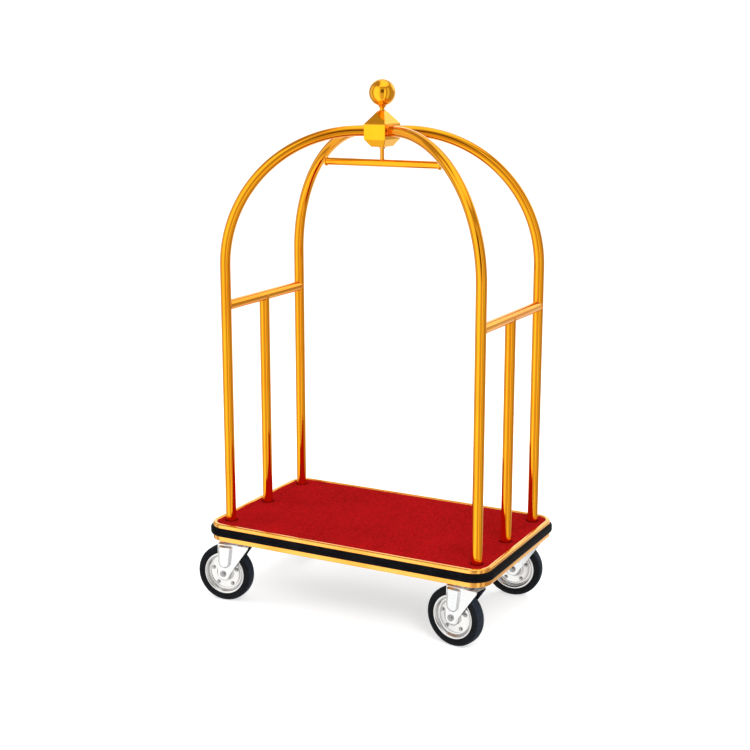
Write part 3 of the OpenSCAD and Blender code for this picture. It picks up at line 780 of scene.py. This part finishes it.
def caster_frame(full_name):
    """The matrices of the fork and of the wheel, the axle's trail behind the kingpin, and its height."""
    swivel, spin = joint("swivel_" + full_name), joint("spin_" + full_name)
    pin, hub = Vector(swivel["pos_m"]), Vector(spin["pos_m"])
    across = Vector(spin["axis"])
    along = Vector((pin.x - hub.x, pin.y - hub.y, 0))
    trail = along.length
    along.normalize()
    fork = Matrix((along, across, Vector((0, 0, 1)))).transposed().to_4x4()
    fork.translation = Vector((pin.x, pin.y, 0))
    wheel = Matrix((along, across.cross(along), across)).transposed().to_4x4()
    wheel.translation = hub
    return fork, wheel, trail, hub.z


def lifted(z):
    return Matrix.Translation((0, 0, z))


BOTH_SIDES = (Matrix.Identity(4), Matrix.Rotation(math.pi, 4, "X"))


def smooth_step(value):
    t = min(1.0, max(0.0, value))
    return t * t * (3 - 2 * t)


def make_fork(key, full_name):
    """One pressed sheet: a flat crown, two legs that taper to the axle, and a channel down each leg."""
    fork, _, trail, axle_z = caster_frame(full_name)
    outer = FORK_GAP / 2 + FORK_WALL / 2
    bend = 7 * MM
    rows_leg, rows_bend, rows_top, columns = 52, 7, 16, 46
    # The sheet's middle line across the fork: up one leg, round the bend, over the crown and down again
    foot = axle_z - BOSS_R
    mid_top = FORK_TOP - FORK_WALL / 2
    path = [(-outer, foot + (mid_top - bend - foot) * i / rows_leg, True) for i in range(rows_leg + 1)]
    for i in range(1, rows_bend + 1):
        a = math.pi / 2 * i / rows_bend
        path.append((-outer + bend - bend * math.cos(a), mid_top - bend + bend * math.sin(a), False))
    for i in range(1, rows_top):
        path.append((-outer + bend + 2 * (outer - bend) * i / rows_top, mid_top, False))
    path += [(-y, z, leg) for y, z, leg in reversed(path[:rows_leg + rows_bend + 1])]
    # The leg's front edge runs straight from the crown's corner until it touches the round boss
    shoulder_z = FORK_TOP - 10 * MM
    reach = Vector((HALF_CROWN + trail, shoulder_z - axle_z))
    slope = math.atan2(reach.y, reach.x) - math.acos(BOSS_R / reach.length)
    touch = Vector((BOSS_R * math.cos(slope) - trail, BOSS_R * math.sin(slope) + axle_z))

    def extent(z):
        """The leg's rear and front edge at a height."""
        round_edge = math.sqrt(max(0.0, BOSS_R ** 2 - (axle_z - z) ** 2))
        front = HALF_CROWN
        if z < shoulder_z:
            front = HALF_CROWN - (HALF_CROWN - touch.x) * (shoulder_z - z) / (shoulder_z - touch.y)
        if z < touch.y:
            front = -trail + round_edge
        if z < axle_z:
            return -trail - round_edge, front
        return -HALF_CROWN - (trail + BOSS_R - HALF_CROWN) * (FORK_TOP - z) / (FORK_TOP - axle_z), front

    def channel(s, z):
        """How far the pressed channel stands proud of the leg, from the crown to just above the axle."""
        half = 28 * MM - 6 * MM * (FORK_TOP - z) / (FORK_TOP - axle_z)
        off = abs(s - (extent(z)[0] + 2 * MM + half))
        end_z = axle_z + 46 * MM
        if z < end_z:
            off = max(off, math.hypot(off, end_z - z))
        return 8 * MM * smooth_step((half - off) / (8 * MM)) * smooth_step((FORK_TOP - 7 * MM - z) / (7 * MM))

    rings = []
    for y, z, leg in path:
        rear, front = extent(z)
        across = [rear + (front - rear) * i / columns for i in range(columns + 1)]
        rings.append([(s, y + math.copysign(channel(s, z) if leg else 0.0, y), z) for s in across])
    sheet = Shape()
    sheet.add(*loft(rings, around=False), fork)
    piece = sheet.piece(f"{key}_fork_sheet", "zinc_forks", f"swivel_{key}", [f"fork_{key}"])
    thick = piece.modifiers.new("sheet", "SOLIDIFY")
    thick.thickness = FORK_WALL
    thick.offset = 0.0
    bevel(piece, 0.7 * MM, 2, 50)
    race = in_mm([(7, -0.2), (33, -0.2), (33.5, 1.0), (32.0, 3.0), (30.5, 4.6), (29, 5.5), (22, 5.5),
                  (20, 4.0), (7, 4.0)])
    cup = Shape()
    cup.turn([(r, FORK_TOP + h) for r, h in race], 72,
             Matrix.Translation((fork.translation.x, fork.translation.y, 0)), closed=True)
    cup.piece(f"{key}_fork_race", "zinc_forks", f"swivel_{key}")


def make_axle(key, full_name):
    """A washer and a bolt head or nut on each leg, on a bolt that ends in a short run of thread."""
    wheel = caster_frame(full_name)[1]
    face = FORK_GAP / 2 + FORK_WALL + 0.15 * MM
    washer_t, nut_t = 1.6 * MM, 5.4 * MM
    washer = in_mm([(5, 0), (11.5, 0), (12, 0.4), (12, 1.2), (11.4, 1.6), (5, 1.6)])
    shape = Shape()
    for side in BOTH_SIDES:
        shape.turn(washer, 40, wheel @ side @ lifted(face))
        shape.add(*hexagon(9 * MM, nut_t), transform=wheel @ side @ lifted(face + washer_t))
    bolt_end, thread_end, pitch = face + 9.0 * MM, face + 5.5 * MM, 0.6 * MM
    outline = [(0, -bolt_end), (4.2 * MM, -bolt_end)]
    k = 0
    while bolt_end - k * pitch > thread_end:
        outline.append((AXLE_R if k % 2 else 4.5 * MM, -(bolt_end - k * pitch)))
        k += 1
    outline += [(AXLE_R, -face), (AXLE_R, face), (0, face)]
    shape.turn(outline, 40, wheel)
    shape.piece(f"{key}_axle_set", "zinc_fasteners", f"swivel_{key}", [f"axle_{key}"])


def make_wheel(key, full_name):
    """Tyre, disc, bearing sleeve and through bolts. Each outline is one half, which mirrored() completes."""
    wheel = caster_frame(full_name)[1]
    body = f"wheel_{key}"
    tyre_lo, tyre_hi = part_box(f"tyre_{key}")
    tyre_r = (tyre_hi.z - tyre_lo.z) / 2
    half, shoulder_r = 22 * MM, 11 * MM
    # Tyre: a flat-crowned tread, round shoulders, a raised ring and a groove on each sidewall
    wall = in_mm([(0.1, 19.6), (1.8, 20.9), (3.4, 21.2), (4.4, 20.5), (5.6, 20.5), (6.8, 21.6)])
    side = [(RIM_R + r, h) for r, h in wall] + [(RIM_R + 9.5 * MM, half)]
    for i in range(13):
        a = math.radians(90 - 78 * i / 12)
        side.append((tyre_r - shoulder_r - 0.8 * MM + (shoulder_r + 0.3 * MM) * math.cos(a),
                     half - shoulder_r + shoulder_r * math.sin(a)))
    side += [(tyre_r - 0.15 * MM, 8.5 * MM), (tyre_r, 4.0 * MM), (tyre_r, 0.7 * MM)]
    outline = [(RIM_R + 0.1 * MM, 0.0)] + side + [(tyre_r, 0.0)] + mirrored(side)
    points, faces, turned = lathe(outline, 112, closed=True)
    tread = [smooth_step((r - (tyre_r - 7 * MM)) / (5 * MM)) for r, _, _ in turned]
    make_piece(f"{key}_tyre_ring", points, faces, "tyre_rubber", body, [f"tyre_{key}"], sharp=40,
               transform=wheel, values={"turned": turned, "tread": tread})
    # Disc: a rolled rim, a dished groove, a flat web, and a hub boss on each face
    side = [(RIM_R, 18.6 * MM)] + in_mm([
        (75.2, 20.0), (73.6, 20.5), (71.6, 20.3), (69.6, 19.2), (67.6, 17.2), (66.0, 15.0), (64.6, 12.2),
        (63.2, 9.6), (61.4, 8.3), (59.0, 8.0), (57.0, 8.6), (55.2, 9.6), (52.0, 10.2), (42.0, 10.4),
        (34.0, 11.0), (29.0, 12.4), (26.6, 15.2), (25.8, 18.6), (25.2, 21.6), (24.2, 22.6), (18.0, 23.0),
        (15.4, 22.9), (14.6, 22.2), (14.1, 20.0)])
    disc = Shape()
    disc.turn(side + mirrored(side), 112, wheel, closed=True)
    disc.piece(f"{key}_wheel_pressing", "wheel_steel", body, [f"wheel_disc_{key}"], sharp=50)
    # Bearing sleeve, whose ends are seen in the hub
    side = in_mm([(5.1, 25.0), (5.6, 25.5), (11.0, 25.5), (11.6, 25.0), (11.6, 23.2), (13.9, 22.8)])
    sleeve = Shape()
    sleeve.turn(side + mirrored(side), 56, wheel, closed=True)
    sleeve.piece(f"{key}_bearing_sleeve", "steel_inserts", body, [f"wheel_bearing_{key}"])
    # Through bolts, with a washer, and a head or a nut on it, on each face
    washer = in_mm([(3, 0), (7.2, 0), (7.6, 0.4), (7.2, 1.0), (3, 1.0)])
    bolts = Shape()
    for i in range(BOLTS_PER_WHEEL):
        turn = Matrix.Rotation(math.radians(360 / BOLTS_PER_WHEEL * i + 18), 4, "Z")
        for side_turn in BOTH_SIDES:
            place = turn @ Matrix.Translation((BOLT_CIRCLE_R, 0, 0))
            seat = wheel @ side_turn @ place @ lifted(WEB_HALF)
            bolts.turn(washer, 32, seat)
            bolts.add(*hexagon(5.5 * MM, 4.0 * MM, dome=0.4 * MM), transform=seat @ lifted(1.0 * MM))
    bolts.piece(f"{key}_wheel_bolt_set", "zinc_fasteners", body, [f"wheel_bolts_{key}"])


def make_top_plate(key, full_name):
    """The fixed plate, and under it the pressed cup that holds the swivel's balls."""
    centre = caster_frame(full_name)[0].translation
    lo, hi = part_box(f"caster_plate_{key}")
    plate = Shape()
    plate.add(*box_points((lo.x, lo.y, hi.z - 4 * MM), (hi.x, hi.y, hi.z)))
    cup = in_mm([(6.2, 3.0), (20, 3.0), (32.5, 0.8), (33.6, 0), (35.4, 0.3), (36, 1.6), (36, 8), (35.2, 11),
                 (36.4, 14.5), (40.0, 17.6)])
    roof = hi.z - 3.8 * MM
    plate.turn([(r, lo.z + h) for r, h in cup] + [(44 * MM, roof), (6.2 * MM, roof)], 72,
               Matrix.Translation((centre.x, centre.y, 0)), closed=True)
    piece = plate.piece(f"{key}_top_plate", "zinc_forks", replaces=[f"caster_plate_{key}"])
    bevel(piece, 0.8 * MM, 2, 60)


# ---- build the object ----

make_carpet()
make_trims()
for node, sx, sy in (("post_front_left", -1, -1), ("post_front_right", 1, -1),
                     ("post_rear_left", -1, 1), ("post_rear_right", 1, 1)):
    make_post(node, sx, sy)
make_end_frame("left", -1)
make_end_frame("right", 1)
make_hub()
make_finial()
make_rail()
for key, full_name in CASTERS.items():
    make_top_plate(key, full_name)
    make_fork(key, full_name)
    make_axle(key, full_name)
    make_wheel(key, full_name)
for node in ("stiffeners", "deck_plate", "deck_board"):
    bevel(frame["nodes"][node], 0.8 * MM, 2, 60)


# ---- studio ----

def make_floor():
    """A plain white floor, which the metal's reflections look past."""
    half = 60.0
    mesh = bpy.data.meshes.new("studio_floor")
    corners = [(x * half, y * half, 0) for x, y in ((-1, -1), (1, -1), (1, 1), (-1, 1))]
    mesh.from_pydata(corners, [], [[0, 1, 2, 3]])
    f = Finish("studio_floor", roughness=0.8, specular_ior_level=0.0, emission_color=(1, 1, 1, 1),
               emission_strength=0.52)
    f.set("Base Color", f.mix(f.spread(f.noise(1.5, 3.0), 0.0, 1.0), (0.60, 0.60, 0.60), (0.62, 0.62, 0.62)))
    mesh.materials.append(f.material)
    floor = bpy.data.objects.new("studio_floor", mesh)
    bpy.context.scene.collection.objects.link(floor)
    floor.visible_glossy = False


# What polished metal sees round the studio. Heading and height of the card's middle, its half width and
# half height, how soft its edge is (all in degrees), how solid it is, and its light
CARDS = (
    (0, 82, 180, 22, 14, 0.90, (1.55, 1.52, 1.45)),
    (0, 41, 180, 3, 6, 0.55, (0.18, 0.08, 0.05)),
    (30, 14, 7, 6, 20, 0.95, (0.08, 0.04, 0.025)),
    (30, -24, 8, 20, 18, 0.35, (0.30, 0.14, 0.08)),
    (124, -12, 26, 42, 14, 0.60, (0.20, 0.10, 0.06)),
    (68, -10, 3, 44, 5, 0.60, (0.16, 0.08, 0.05)),
    (-64, -10, 3, 44, 5, 0.60, (0.16, 0.08, 0.05)),
    (-108, -10, 9, 44, 8, 0.60, (0.16, 0.08, 0.05)),
    (-70, 62, 50, 8, 14, 0.75, (0.16, 0.05, 0.03)),
    (-24, -10, 20, 50, 12, 0.92, (1.56, 1.53, 1.46)),
    (50, -14, 3, 34, 6, 0.80, (1.45, 1.42, 1.36)),
    (156, 22, 14, 10, 8, 0.90, (1.55, 1.52, 1.45)),
    (-150, 8, 14, 24, 12, 0.80, (1.50, 1.47, 1.40)),
)


def make_world():
    """A white studio, with cards that only mirror-like surfaces see."""
    world = bpy.data.worlds.new("studio")
    bpy.context.scene.world = world
    world.use_nodes = True
    nodes, links = world.node_tree.nodes, world.node_tree.links

    def node(kind, **settings):
        made = nodes.new(kind)
        for name, value in settings.items():
            setattr(made, name, value)
        return made

    def fill(sockets, values):
        for socket, value in zip(sockets, values):
            if isinstance(value, tuple):
                socket.default_value = (*value, 1.0)
            elif isinstance(value, (int, float)):
                socket.default_value = value
            else:
                links.new(value, socket)

    def calc(operation, *values):
        made = node("ShaderNodeMath", operation=operation)
        fill(made.inputs, values)
        return made.outputs[0]

    def blend(factor, a, b):
        made = node("ShaderNodeMix", data_type="RGBA")
        fill((made.inputs[0], made.inputs[6], made.inputs[7]), (factor, a, b))
        return made.outputs[2]

    def window(value, half, soft):
        """1 inside the half width, and 0 past the soft edge."""
        made = node("ShaderNodeMapRange", interpolation_type="SMOOTHSTEP")
        fill(made.inputs, (calc("ABSOLUTE", value), math.radians(half), math.radians(half + soft), 1.0, 0.0))
        return made.outputs["Result"]

    split = node("ShaderNodeSeparateXYZ")
    links.new(node("ShaderNodeTexCoord").outputs["Generated"], split.inputs[0])
    x, y, z = split.outputs
    heading = calc("ARCTAN2", x, calc("MULTIPLY", y, -1.0))
    height = calc("ARCSINE", z)
    tone = (0.98, 0.96, 0.92)
    for card_heading, card_height, half_w, half_h, soft, solid, light in CARDS:
        off = calc("WRAP", calc("SUBTRACT", heading, math.radians(card_heading)), math.pi, -math.pi)
        rise = calc("SUBTRACT", height, math.radians(card_height))
        cover = calc("MULTIPLY", window(off, half_w, soft), window(rise, half_h, soft))
        tone = blend(calc("MULTIPLY", cover, solid), tone, light)
    path = node("ShaderNodeLightPath")
    background = nodes["Background"]
    links.new(blend(path.outputs["Is Glossy Ray"], (1.1, 1.1, 1.1), tone), background.inputs["Color"])
    background.inputs["Strength"].default_value = 1.0


def make_light(name, place, size, power):
    """A soft lamp aimed at the cart's middle, which the metal doesn't mirror."""
    light = bpy.data.lights.new(name, "AREA")
    light.shape = "RECTANGLE"
    light.size, light.size_y = size
    light.energy = power
    lamp = bpy.data.objects.new(name, light)
    lamp.visible_glossy = False
    lamp.location = place
    lamp.rotation_euler = (Vector((0, 0, 0.9)) - Vector(place)).to_track_quat("-Z", "Y").to_euler()
    bpy.context.scene.collection.objects.link(lamp)


def make_camera():
    data = bpy.data.cameras.new("camera")
    data.lens = CAMERA_LENS
    data.sensor_width = CAMERA_SENSOR
    data.clip_end = 200
    camera = bpy.data.objects.new("camera", data)
    az, el = math.radians(CAMERA_AZIMUTH), math.radians(CAMERA_ELEVATION)
    back = Vector((math.sin(az) * math.cos(el), -math.cos(az) * math.cos(el), math.sin(el)))
    right = Vector((math.cos(az), math.sin(az), 0))
    up = back.cross(right)
    matrix = Matrix((right, up, back)).transposed().to_4x4()
    matrix.translation = Vector(CAMERA_PLACE)
    camera.matrix_world = matrix
    bpy.context.scene.collection.objects.link(camera)
    bpy.context.scene.camera = camera


make_floor()
make_world()
make_light("key", (3.4, -3.2, 3.4), (2.2, 2.2), 140)
make_light("fill", (-4.0, -1.6, 2.6), (1.6, 2.4), 40)
make_light("rim", (0.6, 4.0, 3.4), (2.6, 1.6), 80)
make_light("top", (0.0, 0.0, 4.6), (2.4, 2.0), 60)
make_camera()
bpy.context.scene.view_settings.view_transform = "Standard"
